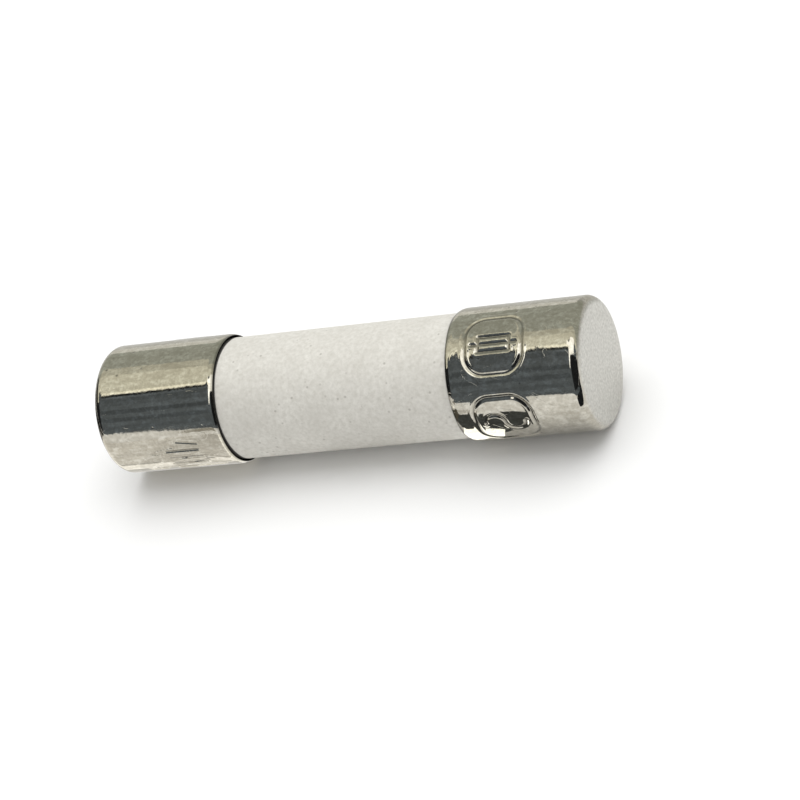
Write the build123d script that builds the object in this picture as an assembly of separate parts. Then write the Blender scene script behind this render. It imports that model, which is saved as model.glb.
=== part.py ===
"""Ceramic cartridge fuse, 5 x 20 mm size: a tube with a nickel-plated cap on each end.

Frame: millimetres, origin at the middle of the fuse on its axis, +X along the axis towards
the right-hand cap, +Z up. Angles round the axis are in degrees, start at the front, -Y, and
grow towards +Z, so they run the other way from a turn about +X.
"""
from build123d import *
import math
import os

# Driving dimensions
FUSE_LENGTH = 20.5
CAP_DIAMETER = 5.15
CAP_LENGTH = 5.35
TUBE_DIAMETER = 4.82
BORE_DIAMETER = 3.0

# End caps: cups drawn from thin brass strip
CAP_FIT = 0.01  # radial gap between the cap's wall and the tube
CAP_WALL = (CAP_DIAMETER - TUBE_DIAMETER) / 2 - CAP_FIT
CAP_FLOOR = 0.15
CAP_CORNER_RADIUS = 0.38  # outside corner between the wall and the end face
CAP_INNER_CORNER_RADIUS = 0.2
MOUTH_DROP = 0.06  # how far the cap's open edge is rolled in towards the tube
MOUTH_LENGTH = 0.45  # length of wall that the roll takes
MOUTH_GAP = 0.05  # chamfer inside the open edge

# Marks pressed into the caps' walls, near the open edge
MARK_DEPTH = 0.05
MARK_LINE = 0.12
MARK_FROM_MOUTH = 1.95  # from the open edge to the middle of a mark
MARK_TOOL_REACH = 0.5  # how far the pressing shapes stand out of the wall
BADGE_SIZE = 2.3  # rounded square round a sign
BADGE_CORNER_RADIUS = 0.75
FUSE_SIGN_LENGTH = 1.25
FUSE_SIGN_WIDTH = 0.6
FUSE_SIGN_LEAD = 1.8  # overall length of the line through the sign
WAVE_RADIUS = 0.4  # each half of the wave sign
TICK_LENGTH = 1.4
TICK_SPACING = 0.42
TICK_COUNT = 4
RIGHT_FUSE_BADGE_ANGLE = 67
RIGHT_WAVE_BADGE_ANGLE = -6
RIGHT_TICKS_ANGLE = 156
LEFT_WAVE_BADGE_ANGLE = 160
LEFT_TICKS_ANGLE = 342

# What lies between the cap's floor and the tube, from the end inwards
SOLDER_THICKNESS = 0.2
SOLDER_DIAMETER = 4.4
SOLDER_EDGE_RADIUS = 0.08
DISC_THICKNESS = 0.25
DISC_DIAMETER = 4.78
DISC_HOLE_DIAMETER = 1.7
TUBE_EDGE_RADIUS = 0.12

# Solder cone that rises through the disc's hole and holds the fuse element's end
CONE_REACH = 0.7  # from the tube's end into the bore
CONE_BASE_DIAMETER = 2.1
CONE_TIP_DIAMETER = 1.45
CONE_SAG = 0.05  # how far the cone's side is drawn in halfway up
NECK_OVERLAP = 0.05  # how far the neck runs into the pool and the cone that it joins
PART_GAP = 0.01  # between inner pieces that touch

# Fuse element: three twisted yarn plies with a wire wound round them
PLY_COUNT = 3
PLY_RADIUS = 0.2
PLY_ORBIT = 0.24  # from the axis to each ply's middle
PLY_PITCH = 8.0
WIRE_RADIUS = 0.1
WIRE_SLACK = 0.015  # between the wire and the plies
WIRE_ORBIT = PLY_ORBIT + PLY_RADIUS + WIRE_RADIUS + WIRE_SLACK
WIRE_PITCH = 1.0

# Derived positions along the axis, for the right-hand end
END_FACE = FUSE_LENGTH / 2
MOUTH = END_FACE - CAP_LENGTH
CAP_INSIDE = END_FACE - CAP_FLOOR
SOLDER_FACE = CAP_INSIDE - SOLDER_THICKNESS
TUBE_END = SOLDER_FACE - DISC_THICKNESS
ELEMENT_END = SOLDER_FACE
ELEMENT_RADIUS = WIRE_ORBIT + WIRE_RADIUS
CAP_RADIUS = CAP_DIAMETER / 2
CAP_INNER_RADIUS = CAP_RADIUS - CAP_WALL


def turned(outline):
    """Solid of revolution about X. The outline's points are (position along X, radius)."""
    face = make_face(Plane.XY * outline)
    return revolve(face, axis=Axis.X, revolution_arc=360)


def disc(start, end, radius):
    """Plain round slice on the axis, from start to end along X."""
    middle = (start + end) / 2
    return Pos(middle, 0, 0) * Rot(0, 90, 0) * Cylinder(radius, end - start)


def to_left(shape):
    """The same shape on the other end: turned half a turn about Z, so that it stays the same hand."""
    return Rot(0, 0, 180) * shape


def on_cap_wall(sketch, angle):
    """A flat sketch driven into the right-hand cap's wall: X runs round the wall, Y along the axis."""
    reach = CAP_RADIUS + MARK_TOOL_REACH
    outward = (0, -math.cos(math.radians(angle)), math.sin(math.radians(angle)))
    here = Plane(
        origin=(MOUTH + MARK_FROM_MOUTH, outward[1] * reach, outward[2] * reach),
        x_dir=(0, math.sin(math.radians(angle)), math.cos(math.radians(angle))),
        z_dir=outward,
    )
    return extrude(here * sketch, amount=-reach)


def frame_sketch(width, height, corner):
    """Closed line of even width round a rectangle, with rounded corners if corner is above zero."""
    def outline(grow):
        if corner > 0:
            return RectangleRounded(width + grow, height + grow, corner + grow / 2)
        return Rectangle(width + grow, height + grow)

    return outline(MARK_LINE) - outline(-MARK_LINE)


def badge_frame():
    """Rounded square that goes round a sign."""
    return frame_sketch(BADGE_SIZE, BADGE_SIZE, BADGE_CORNER_RADIUS)


def fuse_badge_sketch():
    """The general sign for a fuse, a box with a line through it, in a rounded square."""
    box = frame_sketch(FUSE_SIGN_WIDTH, FUSE_SIGN_LENGTH, 0)
    line = Rectangle(MARK_LINE, FUSE_SIGN_LEAD)
    return badge_frame() + box + line


def wave_badge_sketch():
    """The general sign for alternating current, a wave along the axis, in a rounded square."""
    ring = Circle(WAVE_RADIUS + MARK_LINE / 2) - Circle(WAVE_RADIUS - MARK_LINE / 2)
    half = Rectangle(4 * WAVE_RADIUS, 2 * WAVE_RADIUS)
    upper = Pos(-WAVE_RADIUS, 0) * (ring & (Pos(0, WAVE_RADIUS) * half))
    lower = Pos(WAVE_RADIUS, 0) * (ring & (Pos(0, -WAVE_RADIUS) * half))
    return badge_frame() + Rot(0, 0, 90) * (upper + lower)


def ticks_sketch():
    """A row of short strokes along the axis."""
    first = -TICK_SPACING * (TICK_COUNT - 1) / 2
    stroke = Rectangle(MARK_LINE, TICK_LENGTH)
    return Sketch() + [Pos(first + i * TICK_SPACING, 0) * stroke for i in range(TICK_COUNT)]


def press_marks(cap, marks):
    """The cap with its marks pressed in MARK_DEPTH deep. Each mark is a sketch and its angle."""
    skin = disc(MOUTH, END_FACE, CAP_RADIUS + MARK_TOOL_REACH)
    skin -= disc(MOUTH, END_FACE, CAP_RADIUS - MARK_DEPTH)
    for sketch, angle in marks:
        cap -= on_cap_wall(sketch, angle) & skin
    return cap


def make_plain_cap():
    """Drawn cup, open towards the middle of the fuse, with its mouth rolled in a little."""
    corner = CAP_CORNER_RADIUS
    inner_corner = CAP_INNER_CORNER_RADIUS
    slant = math.sqrt(0.5)
    outline = Curve() + [
        Line((END_FACE, 0), (END_FACE, CAP_RADIUS - corner)),
        ThreePointArc(
            (END_FACE, CAP_RADIUS - corner),
            (END_FACE - corner * (1 - slant), CAP_RADIUS - corner * (1 - slant)),
            (END_FACE - corner, CAP_RADIUS),
        ),
        Line((END_FACE - corner, CAP_RADIUS), (MOUTH + MOUTH_LENGTH, CAP_RADIUS)),
        TangentArc((MOUTH + MOUTH_LENGTH, CAP_RADIUS), (MOUTH, CAP_RADIUS - MOUTH_DROP), tangent=(-1, 0)),
        Line((MOUTH, CAP_RADIUS - MOUTH_DROP), (MOUTH, CAP_INNER_RADIUS + MOUTH_GAP)),
        Line((MOUTH, CAP_INNER_RADIUS + MOUTH_GAP), (MOUTH + MOUTH_LENGTH, CAP_INNER_RADIUS)),
        Line((MOUTH + MOUTH_LENGTH, CAP_INNER_RADIUS), (CAP_INSIDE - inner_corner, CAP_INNER_RADIUS)),
        ThreePointArc(
            (CAP_INSIDE - inner_corner, CAP_INNER_RADIUS),
            (CAP_INSIDE - inner_corner * (1 - slant), CAP_INNER_RADIUS - inner_corner * (1 - slant)),
            (CAP_INSIDE, CAP_INNER_RADIUS - inner_corner),
        ),
        Line((CAP_INSIDE, CAP_INNER_RADIUS - inner_corner), (CAP_INSIDE, 0)),
        Line((CAP_INSIDE, 0), (END_FACE, 0)),
    ]
    return turned(outline)


def make_right_cap():
    return press_marks(make_plain_cap(), [
        (fuse_badge_sketch(), RIGHT_FUSE_BADGE_ANGLE),
        (wave_badge_sketch(), RIGHT_WAVE_BADGE_ANGLE),
        (ticks_sketch(), RIGHT_TICKS_ANGLE),
    ])


def make_left_cap():
    """Made at the right-hand end and turned over, which takes an angle to 180 less that angle."""
    return to_left(press_marks(make_plain_cap(), [
        (wave_badge_sketch(), 180 - LEFT_WAVE_BADGE_ANGLE),
        (ticks_sketch(), 180 - LEFT_TICKS_ANGLE),
    ]))


def make_tube():
    """Ceramic tube with a through bore and rounded ends."""
    body = disc(-TUBE_END, TUBE_END, TUBE_DIAMETER / 2) - disc(-TUBE_END, TUBE_END, BORE_DIAMETER / 2)
    rims = body.edges().filter_by(GeomType.CIRCLE)
    return fillet(rims, TUBE_EDGE_RADIUS)


def make_sealing_disc():
    """Fibre washer between the tube's end and the solder; the element passes through its hole."""
    washer = disc(TUBE_END + PART_GAP, SOLDER_FACE, DISC_DIAMETER / 2)
    return washer - disc(TUBE_END, SOLDER_FACE, DISC_HOLE_DIAMETER / 2)


def cone_outline(grow):
    """Profile of the solder cone inside the bore, from the tube's end to its tip, grown by grow."""
    base = CONE_BASE_DIAMETER / 2 + grow
    tip = CONE_TIP_DIAMETER / 2 + grow
    start, end = TUBE_END, TUBE_END - CONE_REACH - grow
    return Curve() + [
        Line((start, 0), (start, base)),
        Spline((start, base), ((start + end) / 2, (base + tip) / 2 - CONE_SAG), (end, tip)),
        Line((end, tip), (end, 0)),
        Line((end, 0), (start, 0)),
    ]


def make_solder():
    """Solder pool on the cap's floor, its neck through the washer, and the cone round the element."""
    pool = disc(SOLDER_FACE + PART_GAP / 2, CAP_INSIDE - PART_GAP / 2, SOLDER_DIAMETER / 2)
    pool = fillet(pool.edges().filter_by(GeomType.CIRCLE), SOLDER_EDGE_RADIUS)
    neck_radius = DISC_HOLE_DIAMETER / 2 - PART_GAP
    neck = disc(TUBE_END - NECK_OVERLAP, SOLDER_FACE + NECK_OVERLAP, neck_radius)
    socket = disc(TUBE_END - 2 * CONE_REACH, ELEMENT_END, ELEMENT_RADIUS + PART_GAP)
    return pool + neck + turned(cone_outline(0)) - socket


def make_filler():
    """Packed quartz sand: fills the bore round the element and the two solder cones."""
    end = TUBE_END - 2 * PART_GAP
    sand = disc(-end, end, BORE_DIAMETER / 2 - PART_GAP)
    sand -= disc(-end, end, ELEMENT_RADIUS + PART_GAP)
    cone = turned(cone_outline(PART_GAP))
    sand -= cone
    return sand - to_left(cone)


def coiled_rod(orbit, pitch, radius, phase):
    """Round rod that winds about X, from one end of the fuse element to the other."""
    length = 2 * (ELEMENT_END - 2 * radius)
    path = Helix(pitch=pitch, height=length, radius=orbit)
    section = Plane(origin=path @ 0, z_dir=path % 0) * Circle(radius)
    rod = sweep(section, path=path, is_frenet=True)
    return Rot(phase, 0, 0) * Rot(0, 90, 0) * Pos(0, 0, -length / 2) * rod


def make_parts():
    """Every piece of the fuse by name."""
    washer = make_sealing_disc()
    solder = make_solder()
    parts = {
        "ceramic_tube": make_tube(),
        "right_end_cap": make_right_cap(),
        "left_end_cap": make_left_cap(),
        "right_sealing_disc": washer,
        "left_sealing_disc": to_left(washer),
        "right_solder_joint": solder,
        "left_solder_joint": to_left(solder),
        "quartz_sand_filler": make_filler(),
        "fuse_wire_winding": coiled_rod(WIRE_ORBIT, WIRE_PITCH, WIRE_RADIUS, 0),
    }
    for i in range(PLY_COUNT):
        phase = 360 / PLY_COUNT * i
        parts[f"core_yarn_ply_{i + 1}"] = coiled_rod(PLY_ORBIT, PLY_PITCH, PLY_RADIUS, phase)
    return parts


os.makedirs("parts", exist_ok=True)
for name, shape in make_parts().items():
    export_step(shape, f"parts/{name}.step")
    print(name, "volume", round(shape.volume, 3), "mm3")
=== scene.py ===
"""The looks of a ceramic cartridge fuse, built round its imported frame.

Metres, origin at the middle of the fuse, +X along its axis towards the right-hand cap, +Z up.
Angles round the axis are in degrees, start at the front, -Y, and grow towards +Z.
"""
import math

import bpy
import numpy as np
from mathutils import Matrix, Vector, noise


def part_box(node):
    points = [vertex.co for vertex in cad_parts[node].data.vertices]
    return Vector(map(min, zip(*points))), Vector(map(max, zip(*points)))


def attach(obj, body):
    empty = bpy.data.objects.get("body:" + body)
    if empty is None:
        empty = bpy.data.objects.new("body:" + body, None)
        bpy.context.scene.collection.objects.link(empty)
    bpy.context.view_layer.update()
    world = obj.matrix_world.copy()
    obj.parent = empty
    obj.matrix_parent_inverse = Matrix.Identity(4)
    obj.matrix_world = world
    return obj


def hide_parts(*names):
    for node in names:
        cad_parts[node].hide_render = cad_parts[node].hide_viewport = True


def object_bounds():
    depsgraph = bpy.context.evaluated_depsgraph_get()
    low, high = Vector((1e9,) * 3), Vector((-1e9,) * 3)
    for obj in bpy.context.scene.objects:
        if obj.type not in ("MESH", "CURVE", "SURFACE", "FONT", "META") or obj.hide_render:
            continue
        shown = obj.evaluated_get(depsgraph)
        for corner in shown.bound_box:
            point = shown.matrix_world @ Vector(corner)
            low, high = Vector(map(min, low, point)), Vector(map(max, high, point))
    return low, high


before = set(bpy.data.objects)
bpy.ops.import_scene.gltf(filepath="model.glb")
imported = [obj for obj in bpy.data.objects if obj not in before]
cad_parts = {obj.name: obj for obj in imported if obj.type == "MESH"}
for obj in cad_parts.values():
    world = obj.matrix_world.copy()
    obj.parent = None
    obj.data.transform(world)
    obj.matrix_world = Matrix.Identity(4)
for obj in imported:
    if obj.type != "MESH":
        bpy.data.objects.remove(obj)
cad_low, cad_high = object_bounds()

MM = 0.001
CLEARANCE = 0.01 * MM  # between pieces that fit into one another
SLACK = 0.005 * MM  # tells the points of one surface of a piece from those of another

# Places and sizes that the frame gives
cap_low, cap_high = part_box("right_end_cap")
_, tube_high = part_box("ceramic_tube")
_, sand_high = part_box("quartz_sand_filler")
disc_low, disc_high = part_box("right_sealing_disc")
solder_low, solder_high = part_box("right_solder_joint")
winding_low, winding_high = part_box("fuse_wire_winding")
ply_low, ply_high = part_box("core_yarn_ply_1")

END_FACE = cap_high.x
MOUTH = cap_low.x
CAP_RADIUS = cap_high.z
TUBE_RADIUS = tube_high.z
TUBE_END = tube_high.x
BORE_RADIUS = sand_high.z + CLEARANCE
FLOOR_HEIGHT = cad_low.z
HALF_TURN = Matrix.Rotation(math.pi, 4, "Z")  # takes a right-hand piece to the left-hand end

# End caps
CAP_FLOOR = 0.15 * MM
CAP_CORNER_RADIUS = 0.38 * MM
CAP_INNER_CORNER_RADIUS = 0.2 * MM
CAP_INNER_RADIUS = TUBE_RADIUS + CLEARANCE
LIP_ROOM = 0.0065 * MM  # the wall lies this far inside its nominal radius, as room for raised lips
END_DISH = 0.012 * MM  # how far the end face is hollow in its middle
MOUTH_BEND_RADIUS = 0.6 * MM  # the wall's last stretch bends in along this arc
MOUTH_BEND = 25  # degrees
MOUTH_ROLL_RADIUS = 0.03 * MM
MOUTH_LIP_INSET = 0.012 * MM  # from the open edge to the start of the gap's taper
MOUTH_GAP = 0.06 * MM
MOUTH_GAP_DEPTH = 0.5 * MM
# How the drawn metal wavers: the depth and the length of its waves, long ones and then short ones
CAP_UNEVENNESS = [(0.0016 * MM, 1.5 * MM), (0.0005 * MM, 0.4 * MM)]

# Marks pressed into the caps: those of the frame, as soft grooves with low lips
MARK_DEPTH = 0.046 * MM
MARK_HALF_WIDTH = 0.11 * MM
MARK_LIP = 0.008 * MM  # height of the raised lip beside a mark
MARK_LIP_AWAY = 1.25 * MARK_HALF_WIDTH
MARK_LIP_WIDTH = 0.35 * MARK_HALF_WIDTH
MARK_FROM_MOUTH = 1.95 * MM
BADGE_SIZE = 2.3 * MM
BADGE_CORNER_RADIUS = 0.75 * MM
BADGE_DISH = 0.02 * MM
FUSE_SIGN_LENGTH = 1.25 * MM
FUSE_SIGN_WIDTH = 0.6 * MM
FUSE_SIGN_LEAD = 1.8 * MM
WAVE_RADIUS = 0.4 * MM
TICK_LENGTH = 1.4 * MM
TICK_SPACING = 0.42 * MM
TICK_COUNT = 4
# Knocks on the left-hand cap. Each has its place across and along the mark and its length, in mm,
# and its slant in degrees, which is 90 along the axis.
KNOCKS = [
    (-0.62, 0.35, 0.9, 80), (-0.38, -0.75, 0.8, 99), (0.12, 0.85, 0.7, 78), (0.3, -0.55, 1.1, 96),
    (0.62, 0.2, 0.8, 80), (0.86, -0.9, 1.2, 96), (0.8, 1.25, 0.8, 82), (-0.15, -1.3, 0.5, 76),
    (1.1, 0.7, 1.3, 93), (1.3, -0.4, 0.9, 97), (1.05, -1.6, 0.7, 86), (0.35, 1.5, 0.5, 70),
]
KNOCK_SHALLOWER = 0.05 * MM
RIGHT_FUSE_BADGE_ANGLE = 67
RIGHT_WAVE_BADGE_ANGLE = -6
RIGHT_TICKS_ANGLE = 156
LEFT_WAVE_BADGE_ANGLE = 160
LEFT_TICKS_ANGLE = 342
LEFT_KNOCKS_ANGLE = 351

# Spacing of the caps' mesh, which is finer at the marks
FACE_STEP = 0.2 * MM
PLAIN_STEP = 0.09 * MM
MARK_STEP = 0.023 * MM
MOUTH_STEP = 0.04 * MM
GAP_STEP = 0.1 * MM
INNER_STEP = 0.5 * MM
MARK_COLUMN = 0.55  # degrees
PLAIN_COLUMN = 1.5
MARK_MESH_REACH = 0.62 * BADGE_SIZE  # each side of a mark's middle along the axis
MARK_MESH_ANGLE = 33  # and round it, in degrees

# Ceramic tube
TUBE_ROOM = 0.006 * MM  # the wall lies this far inside its nominal radius, as it is uneven
TUBE_EDGE_RADIUS = 0.12 * MM
TUBE_STEP = 0.12 * MM
BORE_STEP = 0.4 * MM
TUBE_COLUMNS = 240
TUBE_UNEVENNESS = [(0.004 * MM, 2.6 * MM), (0.0015 * MM, 0.7 * MM)]

# Sealing discs and solder joints
JOINT_COLUMNS = 160
DISC_HOLE_RADIUS = 0.85 * MM
DISC_EDGE_RADIUS = 0.06 * MM
DISC_STEP = 0.1 * MM
FUR_DEPTH = 0.012 * MM
FUR_LENGTH = 0.3 * MM
FUR_INWARD = 0.6  # how far inwards the middle of the fur lies, in depths
POOL_THICKNESS = 0.185 * MM
POOL_EDGE_RADIUS = 0.06 * MM
NECK_RADIUS = 0.835 * MM
CONE_INSET = 0.02 * MM  # from the tube's end to the cone's base
NECK_STOP = 0.01 * MM  # from the neck's last point to the cone's base
CONE_BASE_RADIUS = 1.03 * MM
CONE_TIP_RADIUS = 0.73 * MM
CONE_START = 0.04  # where the cone's first point lies, from 0 at its base to 1 at its tip
CONE_POINTS = 14
CONE_CURVE = 0.6  # below 1 it narrows faster at its base
POOL_STEP = 0.12 * MM
NECK_STEP = 0.1 * MM
LUMP_DEPTH = 0.02 * MM
LUMP_LENGTH = 0.5 * MM
LUMP_INWARD = 0.7  # the same for the lumps
SOLDER_LEAST = 0.02 * MM  # the least thickness of solder round the hole

# Sand
SAND_COLUMNS = 128
SAND_WALL_STEP = 0.075 * MM
SAND_END_STEP = 0.1 * MM
GRAIN_DEPTH = 0.03 * MM
GRAIN_LENGTH = 0.17 * MM
SAND_HOLLOW_RADIUS = 1.12 * MM  # round the solder cone, at the sand's end
SAND_HOLLOW_TAPER = 0.3 * MM
SAND_HOLLOW_GAP = 0.03 * MM

# Fuse element
WIRE_RADIUS = 0.1 * MM
WIRE_PITCH = 1.0 * MM
WIRE_STEPS = 40  # steps in a turn
WIRE_SIDES = 14
WIRE_SHARE = 0.97  # thickness of the coil's wire, as a share of its nominal one
PLY_COUNT = 3
PLY_RADIUS = 0.2 * MM
PLY_PITCH = 8.0 * MM
STRANDS_ROUND = 6
STRAND_RADIUS = 0.064 * MM
STRAND_ROOM = 1.03  # from a strand's middle to the ply's surface, in strand radii
STRAND_PITCH = 1.9 * MM
STRAND_STEPS = 380
STRAND_SIDES = 7
ROD_END_SHARE = 0.6  # width of a wire's or strand's very end, as a share of its width elsewhere
HOLE_RADIUS = winding_high.z + CLEARANCE  # through the sand and the solder, for the element


# ---------------------------------------------------------------- meshes

SEED_STEPS = (17.3, 5.1, 9.7)  # how far a seed of 1 shifts the noise along each axis


def new_piece(name, points, faces):
    """A smooth-shaded mesh object."""
    mesh = bpy.data.meshes.new(name)
    mesh.from_pydata([tuple(p) for p in points], [], faces)
    mesh.polygons.foreach_set("use_smooth", [True] * len(mesh.polygons))
    mesh.validate()
    mesh.update()
    piece = bpy.data.objects.new(name, mesh)
    bpy.context.scene.collection.objects.link(piece)
    return piece


def lathe(name, profile, angles, reshape, loop=False):
    """Solid of revolution about X. The profile's points are (x, radius), anticlockwise as seen with
    x to the right and radius up. It runs from pole to pole, or back to its start if loop is set.
    reshape takes x, radius and angle, as arrays, and gives back x and radius. The points of a face
    run clockwise as seen from outside, so its normal points inwards."""
    x = np.repeat(np.array([p[0] for p in profile])[:, None], len(angles), axis=1)
    radius = np.repeat(np.array([p[1] for p in profile])[:, None], len(angles), axis=1)
    turn = np.repeat(np.array(angles)[None, :], len(profile), axis=0)
    x, radius = reshape(x, radius, turn)
    grid = np.stack([x, -radius * np.cos(turn), radius * np.sin(turn)], axis=-1)
    columns = len(angles)
    if loop:
        points = grid.reshape(-1, 3)
        rows = [np.arange(columns) + i * columns for i in range(len(profile))]
        pairs = list(zip(rows, rows[1:] + rows[:1]))
        ends = []
    else:
        points = np.vstack([grid[1:-1].reshape(-1, 3), grid[0, :1], grid[-1, :1]])
        rows = [np.arange(columns) + i * columns for i in range(len(profile) - 2)]
        pairs = list(zip(rows, rows[1:]))
        first, last = len(points) - 2, len(points) - 1
        ends = [(first, rows[0]), (last, rows[-1][::-1])]
    faces = []
    for lower, upper in pairs:
        faces += np.stack([lower, upper, np.roll(upper, -1), np.roll(lower, -1)], axis=1).tolist()
    for pole, ring in ends:
        faces += [[pole, int(a), int(b)] for a, b in zip(ring, np.roll(ring, -1))]
    return new_piece(name, points, faces)


def arc(centre, radius, start, end, steps):
    """Points of an arc in the profile plane, from angle start to end in degrees."""
    turns = [math.radians(start + (end - start) * i / steps) for i in range(steps + 1)]
    return [(centre[0] + radius * math.cos(t), centre[1] + radius * math.sin(t)) for t in turns]


def straight(start, end, step):
    """Points from start to end, end left out, about step apart."""
    count = max(1, round(math.dist(start, end) / step))
    return [
        (start[0] + (end[0] - start[0]) * i / count, start[1] + (end[1] - start[1]) * i / count)
        for i in range(count)
    ]


def even_angles(count):
    """Angles in radians that divide a full turn evenly."""
    return [2 * math.pi * i / count for i in range(count)]


def ripple(x, radius, turn, size, seed):
    """Smooth noise between about -1 and 1 over a surface of revolution, with bumps of that size."""
    places = np.stack([x, -radius * np.cos(turn), radius * np.sin(turn)], axis=-1) / size
    shift = Vector([seed * step for step in SEED_STEPS])
    flat = [noise.noise(Vector(p) + shift) for p in places.reshape(-1, 3)]
    return np.array(flat).reshape(x.shape)


def unevenness(x, radius, turn, layers, seed):
    """Ripples of several lengths added up. Each layer is the depth and the length of its waves."""
    return sum(
        depth * ripple(x, radius, turn, length, seed + i)
        for i, (depth, length) in enumerate(layers)
    )


# ---------------------------------------------------------------- pressed marks

def rounded_box_distance(across, along, width, height, corner):
    """Distance to the outline of a rounded rectangle, below zero inside it."""
    side = np.abs(across) - width / 2 + corner
    end = np.abs(along) - height / 2 + corner
    outside = np.hypot(np.maximum(side, 0), np.maximum(end, 0))
    return outside + np.minimum(np.maximum(side, end), 0) - corner


def stroke_distance(across, along, length):
    """Distance to a stroke along the axis through the origin."""
    return np.hypot(across, np.maximum(np.abs(along) - length / 2, 0))


def half_ring_distance(across, along, radius, side):
    """Distance to the half of a ring that lies on that side, +1 or -1, of the line along = 0."""
    on_ring = np.abs(np.hypot(across, along) - radius)
    to_ends = np.hypot(np.abs(across) - radius, along)
    return np.where(along * side >= 0, on_ring, to_ends)


def fuse_sign(across, along):
    """Distance to the circuit sign for a fuse: a rectangle with a line through it."""
    box = np.abs(rounded_box_distance(across, along, FUSE_SIGN_WIDTH, FUSE_SIGN_LENGTH, 0))
    return np.minimum(box, stroke_distance(across, along, FUSE_SIGN_LEAD))


def wave_sign(across, along):
    """Distance to the sign for alternating current: two half rings that make a wave."""
    nearer = half_ring_distance(along + WAVE_RADIUS, -across, WAVE_RADIUS, 1)
    further = half_ring_distance(along - WAVE_RADIUS, -across, WAVE_RADIUS, -1)
    return np.minimum(nearer, further)


def ticks(across, along):
    """Distance to a row of equal strokes along the axis."""
    first = -TICK_SPACING * (TICK_COUNT - 1) / 2
    places = [first + i * TICK_SPACING for i in range(TICK_COUNT)]
    return np.min([stroke_distance(across - p, along, TICK_LENGTH) for p in places], axis=0)


def knocks(across, along):
    """Distance to a few slanting strokes, with some added so that they come out shallow."""
    nearest = np.full_like(across, BADGE_SIZE)
    for middle_across, middle_along, length, slant in KNOCKS:
        cos, sin = math.cos(math.radians(slant)), math.sin(math.radians(slant))
        right, up = across - middle_across * MM, along - middle_along * MM
        stroke = stroke_distance(right * sin - up * cos, right * cos + up * sin, length * MM)
        nearest = np.minimum(nearest, stroke)
    return nearest + KNOCK_SHALLOWER


def groove(distance):
    """Height of the metal at a distance from a stroke: a soft valley with a low lip beside it."""
    valley = 0.5 + 0.5 * np.cos(np.pi * np.clip(distance / MARK_HALF_WIDTH, 0, 1))
    beside = (distance - MARK_LIP_AWAY) / MARK_LIP_WIDTH
    return MARK_LIP * np.exp(-beside * beside) - MARK_DEPTH * valley


# Each mark: its sign, the angle of its middle, and whether it has a rounded square round it. The
# left-hand cap is made at the right-hand end and turned over, which takes an angle to 180 less it.
RIGHT_MARKS = [
    (fuse_sign, RIGHT_FUSE_BADGE_ANGLE, True),
    (wave_sign, RIGHT_WAVE_BADGE_ANGLE, True),
    (ticks, RIGHT_TICKS_ANGLE, False),
]
LEFT_MARKS = [
    (wave_sign, 180 - LEFT_WAVE_BADGE_ANGLE, True),
    (ticks, 180 - LEFT_TICKS_ANGLE, False),
    (knocks, 180 - LEFT_KNOCKS_ANGLE, False),
]


def mark_height(x, turn, marks):
    """How far the marks raise the cap's wall, which is mostly below zero."""
    total = np.zeros_like(x)
    for sign, angle, framed in marks:
        away = (turn - math.radians(angle) + math.pi) % (2 * math.pi) - math.pi
        across = CAP_RADIUS * np.sin(np.clip(away, -math.pi / 2, math.pi / 2))
        along = MOUTH + MARK_FROM_MOUTH - x
        distance = sign(across, along)
        if framed:
            badge = rounded_box_distance(across, along, BADGE_SIZE, BADGE_SIZE, BADGE_CORNER_RADIUS)
            distance = np.minimum(distance, np.abs(badge))
            inward = np.clip(-badge / (BADGE_SIZE / 2), 0, 1)
            total -= BADGE_DISH * inward * inward * (3 - 2 * inward)
        total += groove(distance)
    return np.minimum(total, MARK_LIP)


# ---------------------------------------------------------------- end caps

def cap_profile():
    """The cap's section, from the middle of the end face round to the middle of its inside."""
    wall = CAP_RADIUS - LIP_ROOM
    corner = CAP_CORNER_RADIUS
    bend = math.radians(MOUTH_BEND)
    roll_x = MOUTH + MOUTH_ROLL_RADIUS
    bend_to_roll = MOUTH_BEND_RADIUS - MOUTH_ROLL_RADIUS
    bend_x = roll_x + bend_to_roll * math.sin(bend)
    roll_height = wall - MOUTH_BEND_RADIUS + bend_to_roll * math.cos(bend)
    fine_start = MOUTH + MARK_FROM_MOUTH + MARK_MESH_REACH
    fine_end = MOUTH + MARK_FROM_MOUTH - MARK_MESH_REACH
    inside = END_FACE - CAP_FLOOR
    inner_corner = CAP_INNER_CORNER_RADIUS
    gap_start = (MOUTH + MOUTH_LIP_INSET, CAP_INNER_RADIUS + MOUTH_GAP)
    gap_end = (MOUTH + MOUTH_GAP_DEPTH, CAP_INNER_RADIUS)
    return (
        straight((END_FACE, 0), (END_FACE, wall - corner), FACE_STEP)
        + arc((END_FACE - corner, wall - corner), corner, 0, 90, 16)[:-1]
        + straight((END_FACE - corner, wall), (fine_start, wall), PLAIN_STEP)
        + straight((fine_start, wall), (fine_end, wall), MARK_STEP)
        + straight((fine_end, wall), (bend_x, wall), MOUTH_STEP)
        + arc((bend_x, wall - MOUTH_BEND_RADIUS), MOUTH_BEND_RADIUS, 90, 90 + MOUTH_BEND, 12)[:-1]
        + arc((roll_x, roll_height), MOUTH_ROLL_RADIUS, 90 + MOUTH_BEND, 180, 6)
        + straight(gap_start, gap_end, GAP_STEP)
        + straight(gap_end, (inside - inner_corner, CAP_INNER_RADIUS), INNER_STEP)
        + arc((inside - inner_corner, CAP_INNER_RADIUS - inner_corner), inner_corner, 90, 0, 5)
        + [(inside, CAP_INNER_RADIUS / 2), (inside, 0)]
    )


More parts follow.
